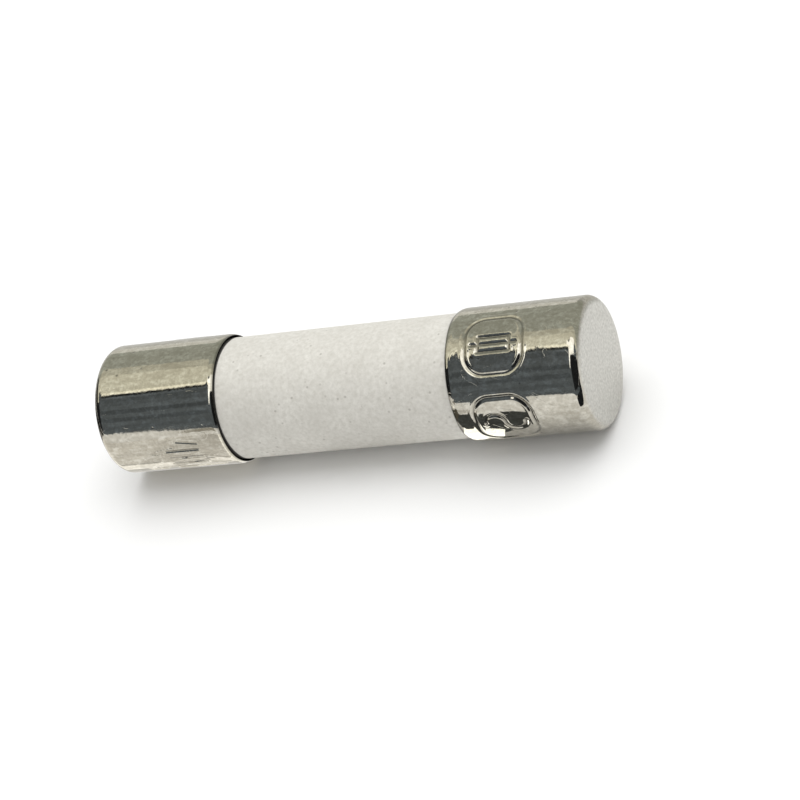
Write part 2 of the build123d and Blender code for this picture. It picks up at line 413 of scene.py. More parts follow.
def cap_angles(marks):
    """Angles of the cap's columns: close together at the marks, further apart elsewhere."""
    angles = []
    here = 0.0
    while here < 360 - MARK_COLUMN:
        angles.append(math.radians(here))
        near = [abs((here - angle + 180) % 360 - 180) for _, angle, _ in marks]
        here += MARK_COLUMN if min(near) < MARK_MESH_ANGLE else PLAIN_COLUMN
    return angles


def cap_reshape(marks, seed):
    """Presses the marks into the outer wall, hollows the end face and lets the metal waver."""
    deepest = sum(depth for depth, _ in CAP_UNEVENNESS)

    def reshape(x, radius, turn):
        outer = radius > CAP_INNER_RADIUS + MOUTH_GAP + SLACK
        height = np.where(outer, mark_height(x, turn, marks), 0)
        waver = unevenness(x, radius, turn, CAP_UNEVENNESS, seed) - deepest
        from_middle = np.clip(radius / (CAP_RADIUS - CAP_CORNER_RADIUS), 0, 1)
        face = (x > END_FACE - SLACK) & (from_middle < 1)
        hollow = END_DISH * (1 - from_middle ** 2) ** 2
        x = np.where(face, x - hollow, x)
        return x, np.where(outer, radius + height + waver, radius)

    return reshape


def make_caps():
    """Both caps are made at the right-hand end, and the left-hand one is turned over."""
    right, left = [
        lathe(f"{side}_nickel_cap", cap_profile(), cap_angles(marks), cap_reshape(marks, seed))
        for side, marks, seed in (("right", RIGHT_MARKS, 1), ("left", LEFT_MARKS, 5))
    ]
    left.data.transform(HALF_TURN)
    return right, left


# ---------------------------------------------------------------- tube and what is in it

def make_tube():
    """The ceramic tube: fired, not ground, so its wall is very slightly uneven."""
    edge = TUBE_EDGE_RADIUS
    outer = TUBE_RADIUS - TUBE_ROOM
    profile = (
        straight((TUBE_END - edge, outer), (edge - TUBE_END, outer), TUBE_STEP)
        + arc((edge - TUBE_END, outer - edge), edge, 90, 180, 6)[:-1]
        + arc((edge - TUBE_END, BORE_RADIUS + edge), edge, 180, 270, 6)[:-1]
        + straight((edge - TUBE_END, BORE_RADIUS), (TUBE_END - edge, BORE_RADIUS), BORE_STEP)
        + arc((TUBE_END - edge, BORE_RADIUS + edge), edge, 270, 360, 6)[:-1]
        + arc((TUBE_END - edge, outer - edge), edge, 0, 90, 6)[:-1]
    )

    def reshape(x, radius, turn):
        uneven = unevenness(x, radius, turn, TUBE_UNEVENNESS, seed=11)
        return x, np.where(radius > (outer + BORE_RADIUS) / 2, radius + uneven, radius)

    return lathe("fired_ceramic_tube", profile, even_angles(TUBE_COLUMNS), reshape, loop=True)


def make_sealing_disc(side):
    """Punched fibre washer with softly rounded edges and a slightly furry face."""
    low, high = disc_low.x, disc_high.x
    middle, half_thickness = (high + low) / 2, (high - low) / 2
    edge = DISC_EDGE_RADIUS
    rim, hole = disc_high.z - edge, DISC_HOLE_RADIUS + edge
    profile = (
        arc((high - edge, rim), edge, 0, 90, 4)
        + arc((low + edge, rim), edge, 90, 180, 4)
        + straight((low, rim), (low, hole), DISC_STEP)[1:]
        + arc((low + edge, hole), edge, 180, 270, 3)
        + arc((high - edge, hole), edge, 270, 360, 3)
        + straight((high, hole), (high, rim), DISC_STEP)[1:]
    )

    def reshape(x, radius, turn):
        fur = FUR_DEPTH * (ripple(x, radius, turn, FUR_LENGTH, seed=21) - FUR_INWARD)
        return x + fur * (x - middle) / half_thickness, radius + fur / 2

    return lathe(f"{side}_fibre_washer", profile, even_angles(JOINT_COLUMNS), reshape, loop=True)


def make_solder(side):
    """Solder on the cap's floor, its neck through the washer and its cone on the element's end."""
    end, tip = solder_high.x, solder_low.x
    pool = solder_high.z
    face = end - POOL_THICKNESS
    cone_base = TUBE_END - CONE_INSET
    edge = POOL_EDGE_RADIUS
    narrowing = CONE_BASE_RADIUS - CONE_TIP_RADIUS
    cone = [
        (cone_base + (tip - cone_base) * t, CONE_BASE_RADIUS - narrowing * t ** CONE_CURVE)
        for t in np.linspace(CONE_START, 1, CONE_POINTS)
    ]
    profile = (
        straight((end, HOLE_RADIUS), (end, pool - edge), POOL_STEP)
        + arc((end - edge, pool - edge), edge, 0, 90, 4)
        + arc((face + edge, pool - edge), edge, 90, 180, 4)
        + straight((face, pool - edge), (face, NECK_RADIUS + edge), POOL_STEP)[1:]
        + arc((face - edge, NECK_RADIUS + edge), edge, 360, 270, 3)
        + [(cone_base + NECK_STOP, NECK_RADIUS)]
        + cone
        + straight((tip, HOLE_RADIUS), (end, HOLE_RADIUS), NECK_STEP)
    )
    just_outside = HOLE_RADIUS + SOLDER_LEAST

    def reshape(x, radius, turn):
        lump = LUMP_DEPTH * (ripple(x, radius, turn, LUMP_LENGTH, seed=31) - LUMP_INWARD)
        return x, np.where(radius < just_outside, radius, np.maximum(radius + lump, just_outside))

    return lathe(f"{side}_solder_pool", profile, even_angles(JOINT_COLUMNS), reshape, loop=True)


def make_sand():
    """Packed quartz grains that fill the bore round the element, hollowed at the solder cones."""
    end, outer = sand_high.x, sand_high.z
    mouth, hollow = SAND_HOLLOW_RADIUS, SAND_HOLLOW_RADIUS - SAND_HOLLOW_TAPER
    floor = solder_low.x - SAND_HOLLOW_GAP
    step = SAND_END_STEP
    profile = (
        straight((end, outer), (-end, outer), SAND_WALL_STEP)
        + straight((-end, outer), (-end, mouth), step)
        + straight((-end, mouth), (-floor, hollow), step)
        + straight((-floor, hollow), (-floor, HOLE_RADIUS), step)
        + straight((-floor, HOLE_RADIUS), (floor, HOLE_RADIUS), 3 * step)
        + straight((floor, HOLE_RADIUS), (floor, hollow), step)
        + straight((floor, hollow), (end, mouth), step)
        + straight((end, mouth), (end, outer), step)
    )

    def reshape(x, radius, turn):
        grain = GRAIN_DEPTH * (np.abs(ripple(x, radius, turn, GRAIN_LENGTH, seed=41)) - 1)
        return x, np.where(radius > outer - SLACK, radius + grain, radius)

    return lathe("packed_quartz_sand", profile, even_angles(SAND_COLUMNS), reshape, loop=True)


def rod_along(path, radius, sides):
    """Points and faces of a round rod along a path, with flat ends that are a little narrower. The
    points of a face run anticlockwise as seen from outside."""
    path = np.array(path)
    ahead = np.gradient(path, axis=0)
    ahead /= np.linalg.norm(ahead, axis=1)[:, None]
    outward = path * np.array([0, 1, 1])
    outward -= (outward * ahead).sum(axis=1)[:, None] * ahead
    outward /= np.linalg.norm(outward, axis=1)[:, None]
    beside = np.cross(ahead, outward)
    turns = np.array(even_angles(sides))
    width = np.full(len(path), radius)
    width[[0, -1]] *= ROD_END_SHARE
    cos, sin = np.cos(turns)[None, :, None], np.sin(turns)[None, :, None]
    ring = outward[:, None] * cos + beside[:, None] * sin
    points = (path[:, None] + width[:, None, None] * ring).reshape(-1, 3)
    faces = []
    for i in range(len(path) - 1):
        lower = np.arange(sides) + i * sides
        upper = lower + sides
        faces += np.stack([lower, np.roll(lower, -1), np.roll(upper, -1), upper], axis=1).tolist()
    last = (len(path) - 1) * sides
    faces += [list(range(sides))[::-1], list(range(last, last + sides))]
    return points, faces


def make_winding():
    """The fuse wire, wound as an open coil round the core from one end to the other."""
    orbit = winding_high.z - WIRE_RADIUS
    length = winding_high.x - winding_low.x - WIRE_RADIUS
    turns = length / WIRE_PITCH
    steps = round(turns * WIRE_STEPS)
    path = []
    for i in range(steps + 1):
        angle = 2 * math.pi * turns * i / steps
        x = length * (i / steps - 0.5)
        path.append((x, orbit * math.cos(angle), orbit * math.sin(angle)))
    return new_piece("wound_fuse_wire", *rod_along(path, WIRE_RADIUS * WIRE_SHARE, WIRE_SIDES))


def make_ply(index):
    """One yarn of the core: strands twisted round a middle one, which follows the ply's turn."""
    orbit = ply_high.z - PLY_RADIUS
    length = ply_high.x - ply_low.x
    phase = 2 * math.pi * index / PLY_COUNT
    spin_orbit = PLY_RADIUS - STRAND_ROOM * STRAND_RADIUS
    points, faces = [], []
    for strand in range(STRANDS_ROUND + 1):
        path = []
        for i in range(STRAND_STEPS + 1):
            x = length * (i / STRAND_STEPS - 0.5)
            turn = phase + 2 * math.pi * x / PLY_PITCH
            centre = Vector((x, orbit * math.cos(turn), orbit * math.sin(turn)))
            if strand:
                spin = 2 * math.pi * (x / STRAND_PITCH + strand / STRANDS_ROUND)
                centre += spin_orbit * Vector((0, math.cos(spin), math.sin(spin)))
            path.append(centre)
        strand_points, strand_faces = rod_along(path, STRAND_RADIUS, STRAND_SIDES)
        faces += [[k + len(points) for k in face] for face in strand_faces]
        points += strand_points.tolist()
    return new_piece(f"twisted_yarn_{index + 1}", points, faces)


# ---------------------------------------------------------------- materials

class Paint:
    """A material under construction: one Principled shader and the nodes that feed it."""

    def __init__(self, name, **constants):
        self.material = bpy.data.materials.new(name)
        self.material.use_nodes = True
        self.tree = self.material.node_tree
        self.shader = self.tree.nodes["Principled BSDF"]
        for socket, value in constants.items():
            self.shader.inputs[socket.replace("_", " ")].default_value = value
        self.place = self.node("ShaderNodeTexCoord").outputs["Object"]

    def node(self, kind, settings=None, **inputs):
        made = self.tree.nodes.new(kind)
        for key, value in (settings or {}).items():
            setattr(made, key, value)
        for socket, value in inputs.items():
            self.feed(made.inputs[socket.replace("_", " ")], value)
        return made

    def feed(self, socket, value):
        if isinstance(value, bpy.types.NodeSocket):
            self.tree.links.new(value, socket)
        else:
            socket.default_value = value

    def noise(self, size, detail=3.0, roughness=0.5, stretch=(1, 1, 1), turn=(0, 0, 0)):
        """Noise between 0 and 1 with features of that size in metres, turned by turn in degrees
        and stretched along the axes."""
        turned = self.node(
            "ShaderNodeMapping", Vector=self.place, Rotation=[math.radians(t) for t in turn]
        )
        scale = [1 / (size * s) for s in stretch]
        moved = self.node("ShaderNodeMapping", Vector=turned.outputs["Vector"], Scale=scale)
        made = self.node(
            "ShaderNodeTexNoise",
            Vector=moved.outputs["Vector"], Scale=1.0, Detail=detail, Roughness=roughness,
        )
        return made.outputs["Fac"]

    def between(self, value, low, high, to_low=0.0, to_high=1.0):
        """The value's stretch from low to high, spread over to_low to to_high and clamped."""
        made = self.node(
            "ShaderNodeMapRange", {"clamp": True},
            Value=value, From_Min=low, From_Max=high, To_Min=to_low, To_Max=to_high,
        )
        return made.outputs["Result"]

    def math(self, operation, first, second=0.0):
        made = self.node("ShaderNodeMath", {"operation": operation})
        self.feed(made.inputs[0], first)
        self.feed(made.inputs[1], second)
        return made.outputs["Value"]

    def mix(self, share, first, second):
        """Colour first where share is 0 and second where it is 1."""
        made = self.node("ShaderNodeMix", {"data_type": "RGBA"})
        self.feed(made.inputs[0], share)
        self.feed(made.inputs[6], first)
        self.feed(made.inputs[7], second)
        return made.outputs[2]

    def bump(self, height, distance, normal=None):
        """The normal, or the given one, tilted by relief that is that deep in metres."""
        made = self.node("ShaderNodeBump", Height=height, Distance=distance)
        if normal is not None:
            self.feed(made.inputs["Normal"], normal)
        return made.outputs["Normal"]

    def cells(self, size):
        """Distance from the middle of the nearest of many scattered cells of that size."""
        scaled = self.node("ShaderNodeMapping", Vector=self.place, Scale=[1 / size] * 3)
        made = self.node("ShaderNodeTexVoronoi", Vector=scaled.outputs["Vector"], Scale=1.0)
        return made.outputs["Distance"]

    def along(self):
        """Distance from the middle of the fuse along its axis, whichever way."""
        parts = self.node("ShaderNodeSeparateXYZ", Vector=self.place)
        return self.math("ABSOLUTE", parts.outputs["X"])

    def scratches(self, size, turn, width):
        """Long thin lines, 1 on them and 0 off them, that run along X before the turn."""
        field = self.noise(size, 1.0, 0.4, stretch=(14, 1, 1), turn=turn)
        ridge = self.math("ABSOLUTE", self.math("SUBTRACT", field, 0.5))
        return self.between(ridge, 0.0, width, 1.0, 0.0)

    def from_place(self, operation, vector):
        """A vector operation on the place and the given vector."""
        made = self.node("ShaderNodeVectorMath", {"operation": operation})
        self.feed(made.inputs[0], self.place)
        self.feed(made.inputs[1], vector)
        return made

    def facing(self, angle):
        """On the tube's wall, the cosine of the angle round the axis from the given one."""
        turn = math.radians(angle)
        middle = (0, -math.cos(turn) / TUBE_RADIUS, math.sin(turn) / TUBE_RADIUS)
        return self.from_place("DOT_PRODUCT", middle).outputs["Value"]

    def from_axis(self):
        """Distance from the fuse's axis."""
        across = self.from_place("MULTIPLY", (0, 1, 1))
        length = self.node("ShaderNodeVectorMath", {"operation": "LENGTH"})
        self.feed(length.inputs[0], across.outputs["Vector"])
        return length.outputs["Value"]

    def finish(self, colour, roughness, normal):
        self.feed(self.shader.inputs["Base Color"], colour)
        self.feed(self.shader.inputs["Roughness"], roughness)
        self.feed(self.shader.inputs["Normal"], normal)
        return self.material


def nickel():
    """Barrel-plated nickel: bright, a little yellow, faintly mottled, with pits and fine rubs."""
    paint = Paint("nickel_plate", Metallic=1.0)
    along, from_axis = paint.along(), paint.from_axis()

    # The wall: cloudy and streaky, duller where it is gritty, with brighter flecks
    cloud = paint.noise(1.1 * MM, 4.0, 0.6)
    streak = paint.noise(0.4 * MM, 3.0, 0.6, stretch=(6, 0.5, 0.5))
    tone = paint.between(paint.math("ADD", cloud, streak), 0.75, 1.25)
    colour = paint.mix(tone, (0.46, 0.433, 0.37, 1), (0.60, 0.572, 0.50, 1))
    grit = paint.noise(0.24 * MM, 4.0, 0.65, stretch=(1.3, 1, 1))
    colour = paint.mix(paint.between(grit, 0.4, 0.62, 0.0, 0.4), colour, (0.36, 0.335, 0.275, 1))
    grain = paint.noise(0.12 * MM, 2.5, 0.6)
    colour = paint.mix(paint.between(grain, 0.36, 0.64, 0.0, 0.5), colour, (0.35, 0.325, 0.27, 1))
    fleck = paint.noise(0.22 * MM, 3.5, 0.65, stretch=(1.3, 1, 1))
    colour = paint.mix(paint.between(fleck, 0.5, 0.68, 0.0, 0.6), colour, (0.70, 0.68, 0.61, 1))

    # Patches of fine scratches, and patches of pits
    one_way = paint.scratches(0.5 * MM, (0, 24, 31), 0.006)
    other_way = paint.scratches(0.6 * MM, (15, -33, -20), 0.005)
    where_scratched = paint.between(paint.noise(0.9 * MM, 3.0), 0.5, 0.62)
    scratch = paint.math("MULTIPLY", paint.math("MAXIMUM", one_way, other_way), where_scratched)
    colour = paint.mix(paint.math("MULTIPLY", scratch, 0.4), colour, (0.80, 0.78, 0.71, 1))
    where_pitted = paint.between(paint.noise(1.6 * MM), 0.52, 0.6)
    pit = paint.between(paint.cells(0.5 * MM), 0.06, 0.12, 1.0, 0.0)
    pit = paint.math("MULTIPLY", pit, where_pitted)
    colour = paint.mix(pit, colour, (0.22, 0.20, 0.17, 1))

    # The end face, which is greyer and frosted
    on_face = paint.between(along, END_FACE - 0.09 * MM, END_FACE - 0.02 * MM)
    face_tone = paint.between(paint.noise(0.11 * MM, 2.5, 0.6), 0.35, 0.65)
    face_colour = paint.mix(face_tone, (0.45, 0.44, 0.405, 1), (0.61, 0.60, 0.56, 1))
    colour = paint.mix(on_face, colour, face_colour)

    # The marks' grooves darker, and painted shade, near black, in the gap under the rolled-in edge
    recess = paint.between(from_axis, CAP_RADIUS - 0.052 * MM, CAP_RADIUS - 0.032 * MM, 0.55, 0.0)
    on_wall = paint.between(along, END_FACE - 0.55 * MM, END_FACE - 0.45 * MM, 1.0, 0.0)
    colour = paint.mix(paint.math("MULTIPLY", recess, on_wall), colour, (0.11, 0.105, 0.09, 1))
    at_mouth = paint.between(along, MOUTH + 0.6 * MM, MOUTH + 0.5 * MM)
    under_rim = paint.between(
        from_axis, CAP_RADIUS - 0.078 * MM, CAP_RADIUS - 0.064 * MM, 1.0, 0.0
    )
    # Near-black painted shade in the gap under the rolled-in edge
    gap_shade = paint.math("MULTIPLY", at_mouth, under_rim)
    colour = paint.mix(gap_shade, colour, (0.012, 0.012, 0.012, 1))

    rubbed = paint.between(paint.noise(0.35 * MM, 4.0, 0.65), 0.35, 0.7, 0.04, 0.10)
    roughness = paint.math("ADD", rubbed, paint.math("MULTIPLY", on_face, 0.3))
    roughness = paint.math("MAXIMUM", roughness, paint.math("MULTIPLY", gap_shade, 0.9))
    normal = paint.bump(paint.noise(0.3 * MM, 2.5, 0.5), 0.0024 * MM)
    normal = paint.bump(scratch, 0.0012 * MM, normal)
    normal = paint.bump(paint.math("SUBTRACT", 1.0, pit), 0.005 * MM, normal)
    return paint.finish(colour, roughness, normal)


def ceramic():
    """Unglazed white steatite: matte and chalky, faintly clouded, with a few grey specks."""
    paint = Paint("white_ceramic")
    cloud = paint.between(paint.noise(1.3 * MM, 5.0, 0.6), 0.3, 0.7)
    colour = paint.mix(cloud, (0.61, 0.592, 0.545, 1), (0.70, 0.684, 0.634, 1))
    grain = paint.between(paint.noise(0.17 * MM, 3.0, 0.65), 0.32, 0.7)
    colour = paint.mix(paint.math("MULTIPLY", grain, 0.75), colour, (0.50, 0.482, 0.43, 1))
    where_specked = paint.between(paint.noise(1.3 * MM), 0.44, 0.52, 0.0, 0.7)
    speck = paint.between(paint.cells(0.42 * MM), 0.07, 0.15, 1.0, 0.0)
    speck = paint.math("MULTIPLY", speck, where_specked)
    colour = paint.mix(speck, colour, (0.34, 0.32, 0.28, 1))

    # Painted shadow beside each cap: a dark ring, which is narrower at the upper front
    narrower = paint.between(paint.facing(42), 0.35, 0.9, 0.0, 0.07 * MM)
    ring = paint.math("SUBTRACT", paint.along(), narrower)
    cap_shadow_ring = paint.between(ring, MOUTH - 0.13 * MM, MOUTH - 0.09 * MM, 0.0, 0.97)
    colour = paint.mix(cap_shadow_ring, colour, (0.02, 0.019, 0.017, 1))

    roughness = paint.between(grain, 0.0, 1.0, 0.55, 0.72)
    normal = paint.bump(paint.noise(0.10 * MM, 4.0, 0.6), 0.005 * MM)
    normal = paint.bump(paint.noise(0.8 * MM, 2.0), 0.010 * MM, normal)
    return paint.finish(colour, roughness, normal)


def solder():
    """Tin solder: grey, frosted where it set last, with a wrinkled skin."""
    paint = Paint("tin_solder", Metallic=1.0)
    frost = paint.between(paint.noise(0.3 * MM, 5.0, 0.6), 0.4, 0.65)
    colour = paint.mix(frost, (0.66, 0.66, 0.65, 1), (0.50, 0.50, 0.50, 1))
    roughness = paint.between(frost, 0.0, 1.0, 0.18, 0.45)
    normal = paint.bump(paint.noise(0.12 * MM, 4.0, 0.6), 0.006 * MM)
    return paint.finish(colour, roughness, normal)


def fibre():
    """Vulcanised fibre: red-brown pressed paper with short matted hairs."""
    paint = Paint("vulcanised_fibre")
    hair = paint.noise(0.25 * MM, 4.0, 0.6, stretch=(1, 3, 0.35))
    crossing = paint.noise(0.25 * MM, 4.0, 0.6, stretch=(1, 0.35, 3))
    mat = paint.between(paint.math("MAXIMUM", hair, crossing), 0.45, 0.75)
    colour = paint.mix(mat, (0.24, 0.10, 0.055, 1), (0.36, 0.18, 0.10, 1))
    roughness = paint.between(mat, 0.0, 1.0, 0.6, 0.8)
    return paint.finish(colour, roughness, paint.bump(mat, 0.006 * MM))


def sand():
    """Quartz grains packed hard: pale, with a grey or amber grain here and there."""
    paint = Paint("quartz_sand")
    grain = paint.cells(0.16 * MM)
    tone = paint.between(paint.noise(0.2 * MM, 2.0), 0.3, 0.7)
    colour = paint.mix(tone, (0.58, 0.50, 0.38, 1), (0.78, 0.73, 0.63, 1))
    amber = paint.between(paint.noise(0.35 * MM, 1.0), 0.62, 0.68)
    colour = paint.mix(amber, colour, (0.50, 0.34, 0.18, 1))
    # Painted shade between the grains: darker far from each grain's middle
    gap = paint.between(grain, 0.35, 0.6)
    colour = paint.mix(gap, colour, (0.30, 0.26, 0.20, 1))
    roughness = paint.between(tone, 0.0, 1.0, 0.35, 0.75)
    relief = paint.math("SUBTRACT", 1.0, grain)
    return paint.finish(colour, roughness, paint.bump(relief, 0.03 * MM))


def tinned_wire():
    """Tinned copper: silvery, with drawing lines and a little copper showing through."""
    paint = Paint("tinned_wire", Metallic=1.0)
    worn = paint.between(paint.noise(0.4 * MM, 4.0, 0.6), 0.62, 0.7, 0.0, 0.7)
    colour = paint.mix(worn, (0.75, 0.75, 0.74, 1), (0.72, 0.42, 0.28, 1))
    drawn = paint.noise(0.06 * MM, 3.0, 0.5, stretch=(1, 5, 5))
    roughness = paint.between(drawn, 0.3, 0.7, 0.15, 0.35)
    return paint.finish(colour, roughness, paint.bump(drawn, 0.0015 * MM))


def yarn():
    """Heat-proof yarn: white glassy filaments, dusty from the sand."""
    paint = Paint("ceramic_yarn", Sheen_Weight=0.3, Sheen_Roughness=0.4)
    hair = paint.noise(0.03 * MM, 3.0, 0.6, stretch=(8, 1, 1))
    dust = paint.between(paint.noise(0.5 * MM, 3.0), 0.45, 0.7, 0.0, 0.6)
    colour = paint.mix(paint.between(hair, 0.3, 0.7), (0.70, 0.68, 0.63, 1), (0.88, 0.87, 0.84, 1))
    colour = paint.mix(dust, colour, (0.66, 0.58, 0.46, 1))
    roughness = paint.between(hair, 0.3, 0.7, 0.5, 0.75)
    return paint.finish(colour, roughness, paint.bump(hair, 0.003 * MM))


# ---------------------------------------------------------------- studio

FLOOR_REACH = 3.0
SKY_COLOUR = (1.0, 1.0, 0.995, 1)
SKY_SEEN = 1.0  # brightness of the surroundings where the camera sees them
SKY_LIGHT = 0.66  # the share of that which lights the scene
LAMP_STRENGTH = 1.88
LAMP_SPREAD = 75  # degrees
LAMP_TURN = (-16, 6, 0)

# Cards that the caps reflect. Those round the fuse each have a name, a distance in metres, a colour
# and stations. A station is (lean, low, high) in degrees: how far it lies to the right of the plane
# across the fuse, and how far the card's edges go there round the axis, from the front up. A nearer
# card hides a farther one.
CARD_COLUMNS = 41
CARD_ROWS = 31
DARK = (0.142, 0.165, 0.188)
BLACK = (0.02, 0.022, 0.025)
SIDE_CARDS = [
    ("black_left_card", 0.23, BLACK,
     [(-89, -2, 170), (-62, -2, 170), (-59, -2, 62), (-42, -2, 62)]),
    ("black_right_card", 0.23, BLACK, [(4, -2, 57), (80, -2, 60)]),
]
# The dark surroundings in front, in strips of these tones, with a black and a bright rim on top
FRONT_STATIONS = [
    (-66, -2, 58), (-48, -2, 60), (-44, -2, 78), (-33, 0, 80), (-31.3, 0.5, 66), (-30.9, 0.3, 69.3),
    (-30.1, 0, 70), (-29.4, -0.5, 71.5), (-28.4, -1.5, 72.5), (-21.5, -2, 77), (-20.7, -2, 86),
    (-20.2, -2, 85), (-18.9, -2, 74), (-18.4, -2, 73), (-9, -2, 68),
]
FRONT_TONES = (1.15, 0.95, 1.1, 0.78, 1.12, 0.72, 1.1, 0.95, 0.8, 1.2)
FRONT_DISTANCE = 0.25
RIM_DISTANCE = 0.24
RIM_WIDTH = 4.2  # degrees
RIM_GLOW = (1.7, 1.66, 1.42)
UPPER_CARDS = [
    ("bright_window", 0.26, (2.0, 2.0, 1.95),
     [(-17.5, 62, 84), (-12, 36, 80), (-4, 38, 80), (3, 57, 87), (42, 62, 90)]),
    ("dark_right_card", 0.30, DARK, [(-12, -2, 84), (70, -2, 84)]),
    ("beige_card", 0.40, (0.98, 0.965, 0.82),
     [(-70, 30, 108), (-27, 50, 108), (-21, 50, 97), (70, 60, 97)]),
    ("middle_card", 0.41, (0.74, 0.73, 0.62),
     [(-70, 90, 124), (-27, 90, 122), (-21, 90, 107), (70, 90, 107)]),
    ("grey_card", 0.42, (0.50, 0.52, 0.465), [(-70, 100, 170), (70, 100, 170)]),
    ("edge_card", 0.415, (0.92, 0.92, 0.87), [(-35, 165, 181), (-26, 166, 181), (-15, 169, 181)]),
    ("tent", 0.50, (0.64, 0.64, 0.62), [(-89, -2, 182), (89, -2, 182)]),
]

# Cards over the floor, each with a name, its height above the floor in mm, a colour and two edges
# that are lists of (x, y) in mm. A higher card hides a lower one.
FAR_TABLE_CARDS = [
    ("dark_table_card", 0.05, DARK, (
        [(-61, -100), (-27, -40), (-5.4, -38), (-0.1, -28), (10, -20), (30, -18)],
        [(-150, -250), (-90, -250), (-20, -250), (10, -250), (60, -250), (250, -250)],
    )),
    ("black_left_table_card", 0.05, BLACK, (
        [(-12.8, 0.5), (-16, -1.5), (-21, -5), (-30, -16), (-60, -60)],
        [(-12.8, 7), (-20, 8), (-40, 8), (-90, 0), (-160, -30)],
    )),
    ("black_right_table_card", 0.05, BLACK, (
        [(9.8, -7), (13, -6), (20, -5), (40, -10), (120, -10)],
        [(9.8, -14), (14, -20), (40, -60), (60, -120), (120, -280)],
    )),
]
# The lit table in front is a grid of pale cards, by the edges and the glow of its rows and columns
PALE_HEIGHT = 0.05
PALE_COLOUR = (1, 0.985, 0.95)
PALE_ROW_EDGES = (0.5, -2.05, -2.7, -2.95, -4.2, -7.5, -11.5)
PALE_ROW_GLOW = (1.0, 2.0, 1.0, 1.34, 1.2, 1.08)
PALE_COLUMN_EDGES = (-24, -11.5, -10, 2.6)
PALE_COLUMN_GLOW = (0.95, 0.85, 0.74)
NEAR_TABLE_CARDS = [
    ("rim_table_card", 0.07, (1.6, 1.58, 1.5), (
        [(-5.35, -1.4), (-5.35, -4), (-5.35, -6), (-5.35, -12)],
        [(-4.8, -1.4), (-4.5, -4), (-3.9, -6), (-2, -12)],
    )),
    ("tube_shade_card", 0.08, (0.12, 0.11, 0.09), (
        [(-1.6, -1.2), (2, -1.2)], [(-1.6, -12), (2, -8)],
    )),
    ("shade_card", 0.05, (0.48, 0.46, 0.41), (
        [(-24.6, -37), (-15.2, -18.5)], [(-14, -37), (-6, -18.5)],
    )),
    ("neighbour_card", 0.07, (0.08, 0.085, 0.085), (
        [(1.5, -3.4), (3.4, -3.4), (5.0, -3.4), (5.01, -2.5), (6.0, -2.6), (7.0, -3.4)],
        [(1.5, -8.6), (3.4, -7.6), (5.0, -6.8), (5.01, -6.8), (6.0, -6.2), (7.0, -4.4)],
    )),
    ("glint_card", 0.09, (2.6, 2.6, 2.5), (
        [(3.6, -1.7), (4.95, -1.8), (5.9, -2.1)], [(3.6, -3.6), (4.95, -3.5), (5.9, -3.0)],
    )),
    ("back_table_card", 0.05, (0.72, 0.72, 0.69), (
        [(-250, 8.5), (250, 8.5)], [(-250, 250), (250, 250)],
    )),
]


def make_floor():
    """Large pale floor that the fuse lies on."""
    reach = FLOOR_REACH
    corners = [(-reach, -reach), (reach, -reach), (reach, reach), (-reach, reach)]
    floor = new_piece("studio_floor", [(x, y, FLOOR_HEIGHT) for x, y in corners], [[0, 1, 2, 3]])
    paint = Paint("floor_paper", Specular_IOR_Level=0.0)
    tone = paint.between(paint.noise(6 * MM, 2.0), 0.0, 1.0)
    colour = paint.mix(tone, (0.905, 0.905, 0.90, 1), (0.915, 0.915, 0.91, 1))
    roughness = paint.between(tone, 0.0, 1.0, 0.8, 0.9)
    floor.data.materials.append(paint.finish(colour, roughness, paint.bump(tone, 0.01 * MM)))


def stage_card(name, grid, colour):
    """A glowing or dark studio card that only reflections see, from rows of points."""
    columns = len(grid[0])
    faces = []
    for i in range(len(grid) - 1):
        for j in range(columns - 1):
            here = i * columns + j
            faces.append([here, here + 1, here + columns + 1, here + columns])
    card = new_piece(name, [point for row in grid for point in row], faces)
    material = bpy.data.materials.new(name)
    material.use_nodes = True
    nodes = material.node_tree.nodes
    nodes.remove(nodes["Principled BSDF"])
    glow = nodes.new("ShaderNodeEmission")
    glow.inputs["Color"].default_value = (*colour, 1)
    surface = nodes["Material Output"].inputs["Surface"]
    material.node_tree.links.new(glow.outputs["Emission"], surface)
    card.data.materials.append(material)
    card.visible_camera = False
    card.visible_diffuse = False
    card.visible_shadow = False
    card.visible_transmission = False
    card.visible_volume_scatter = False


def make_card(name, distance, colour, stations):
    """A card on a sphere of that radius round the fuse, through its stations."""
    leans = [station[0] for station in stations]
    grid = []
    for lean in np.linspace(leans[0], leans[-1], CARD_COLUMNS):
        low = np.interp(lean, leans, [station[1] for station in stations])
        high = np.interp(lean, leans, [station[2] for station in stations])
        side = math.radians(lean)
        across = distance * math.cos(side)
        turns = [
            math.radians(low + (high - low) * i / (CARD_ROWS - 1)) for i in range(CARD_ROWS)
        ]
        grid.append([
            (distance * math.sin(side), -across * math.cos(t), across * math.sin(t)) for t in turns
        ])
    stage_card(name, grid, colour)


def make_table_card(name, height, colour, edges):
    """A level card at that height above the floor, between its two edges, all in mm."""
    z = FLOOR_HEIGHT + height * MM
    stage_card(name, [[(x * MM, y * MM, z) for x, y in edge] for edge in edges], colour)


def make_front_cards():
    """The dark surroundings in front, with the two rims along their upper edge."""
    rim = [(lean, high - RIM_WIDTH, high) for lean, _, high in FRONT_STATIONS]
    above = [(lean, high, high + RIM_WIDTH) for lean, _, high in FRONT_STATIONS]
    make_card("black_rim_card", RIM_DISTANCE, BLACK, rim)
    make_card("bright_rim_card", RIM_DISTANCE, RIM_GLOW, above)
    for i, tone in enumerate(FRONT_TONES):
        start, end = i / len(FRONT_TONES), (i + 1) / len(FRONT_TONES)
        strip = [
            (lean, low + (high - low) * start, low + (high - low) * end)
            for lean, low, high in FRONT_STATIONS
        ]
        colour = [channel * tone for channel in DARK]
        make_card(f"dark_front_card_{i + 1}", FRONT_DISTANCE, colour, strip)


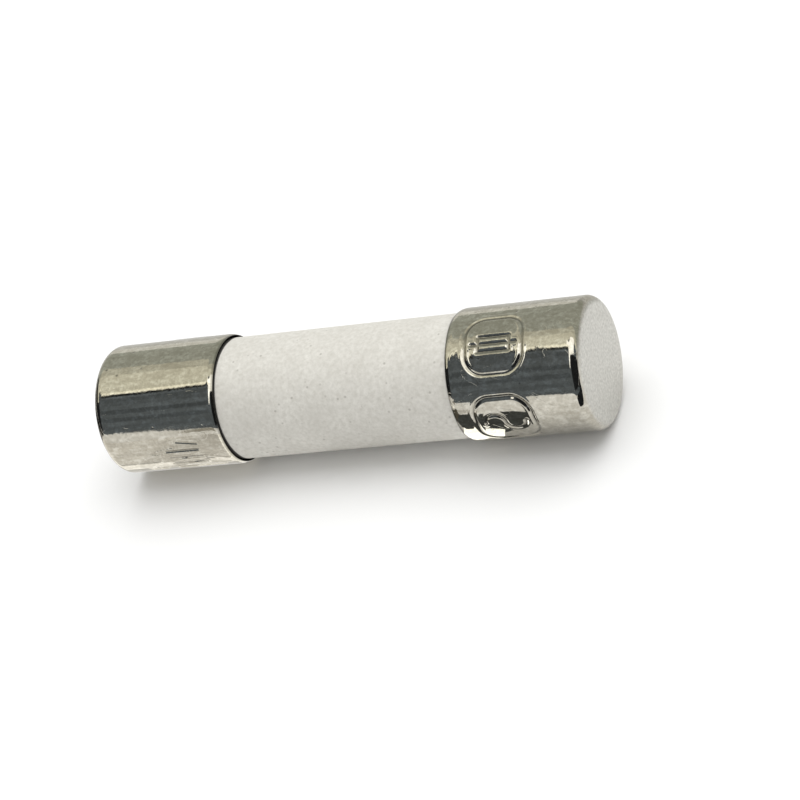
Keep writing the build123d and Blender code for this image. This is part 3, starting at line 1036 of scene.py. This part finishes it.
def make_pale_table_cards():
    """The lit table in front of the fuse."""
    for i, glow in enumerate(PALE_ROW_GLOW):
        near, far = PALE_ROW_EDGES[i:i + 2]
        for j, share in enumerate(PALE_COLUMN_GLOW):
            left, right = PALE_COLUMN_EDGES[j:j + 2]
            colour = [glow * share * channel for channel in PALE_COLOUR]
            edges = ([(left, near), (right, near)], [(left, far), (right, far)])
            make_table_card(f"pale_table_card_{i + 1}_{j + 1}", PALE_HEIGHT, colour, edges)


def make_cards():
    """Everything that the caps reflect besides the floor and the sky."""
    for card in SIDE_CARDS:
        make_card(*card)
    make_front_cards()
    for card in UPPER_CARDS:
        make_card(*card)
    for card in FAR_TABLE_CARDS:
        make_table_card(*card)
    make_pale_table_cards()
    for card in NEAR_TABLE_CARDS:
        make_table_card(*card)


def make_lamp():
    """Wide soft light from straight above, a little from behind."""
    data = bpy.data.lights.new("overhead_lamp", "SUN")
    data.energy = LAMP_STRENGTH
    data.angle = math.radians(LAMP_SPREAD)
    lamp = bpy.data.objects.new("overhead_lamp", data)
    lamp.rotation_euler = [math.radians(turn) for turn in LAMP_TURN]
    lamp.visible_glossy = False
    bpy.context.scene.collection.objects.link(lamp)


def make_studio():
    """Sky, floor, cards and lamp. The camera sees the sky brighter than it lights the scene."""
    world = bpy.data.worlds.new("studio")
    bpy.context.scene.world = world
    world.use_nodes = True
    nodes, links = world.node_tree.nodes, world.node_tree.links
    sky = nodes["Background"]
    sky.inputs["Color"].default_value = SKY_COLOUR
    brightness = nodes.new("ShaderNodeMapRange")
    brightness.inputs["To Min"].default_value = SKY_LIGHT
    brightness.inputs["To Max"].default_value = SKY_SEEN
    links.new(nodes.new("ShaderNodeLightPath").outputs["Is Camera Ray"], brightness.inputs["Value"])
    links.new(brightness.outputs["Result"], sky.inputs["Strength"])
    make_floor()
    make_cards()
    make_lamp()


# ---------------------------------------------------------------- camera

CAMERA_AZIMUTH = 30.62
CAMERA_ELEVATION = 37.77
CAMERA_ROLL = 25.51
CAMERA_DISTANCE = 115.1 * MM
CAMERA_LENS = 133.4
CAMERA_CLIP = (0.001, 20)
CAMERA_ASIDE = (1.77 * MM, -0.52 * MM)  # how far right of and above the fuse's middle it aims


def make_camera():
    """At the viewing angle, rolled so that the fuse lies almost level in the picture."""
    azimuth, elevation = math.radians(CAMERA_AZIMUTH), math.radians(CAMERA_ELEVATION)
    back = Vector((
        math.sin(azimuth) * math.cos(elevation),
        -math.cos(azimuth) * math.cos(elevation),
        math.sin(elevation),
    ))
    roll = Matrix.Rotation(-math.radians(CAMERA_ROLL), 3, "Z")
    turn = back.to_track_quat("Z", "Y").to_matrix() @ roll
    middle = (cad_low + cad_high) / 2
    aim = middle + turn @ Vector((*CAMERA_ASIDE, 0))
    data = bpy.data.cameras.new("camera")
    data.lens = CAMERA_LENS
    data.clip_start, data.clip_end = CAMERA_CLIP
    camera = bpy.data.objects.new("camera", data)
    camera.matrix_world = Matrix.Translation(aim + back * CAMERA_DISTANCE) @ turn.to_4x4()
    bpy.context.scene.collection.objects.link(camera)
    bpy.context.scene.camera = camera


# ---------------------------------------------------------------- assembly

def install(piece, node, material):
    """The piece stands for that node of the frame and takes its place on the body."""
    piece.data.materials.append(material)
    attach(piece, "root")
    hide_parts(node)


plate = nickel()
right_cap, left_cap = make_caps()
install(right_cap, "right_end_cap", plate)
install(left_cap, "left_end_cap", plate)
install(make_tube(), "ceramic_tube", ceramic())

tin, washer_fibre = solder(), fibre()
for side in ("right", "left"):
    washer, pool = make_sealing_disc(side), make_solder(side)
    if side == "left":
        washer.data.transform(HALF_TURN)
        pool.data.transform(HALF_TURN)
    install(washer, f"{side}_sealing_disc", washer_fibre)
    install(pool, f"{side}_solder_joint", tin)

install(make_sand(), "quartz_sand_filler", sand())
install(make_winding(), "fuse_wire_winding", tinned_wire())
filament = yarn()
for index in range(PLY_COUNT):
    install(make_ply(index), f"core_yarn_ply_{index + 1}", filament)

make_studio()
make_camera()
bpy.context.scene.view_settings.view_transform = "Standard"
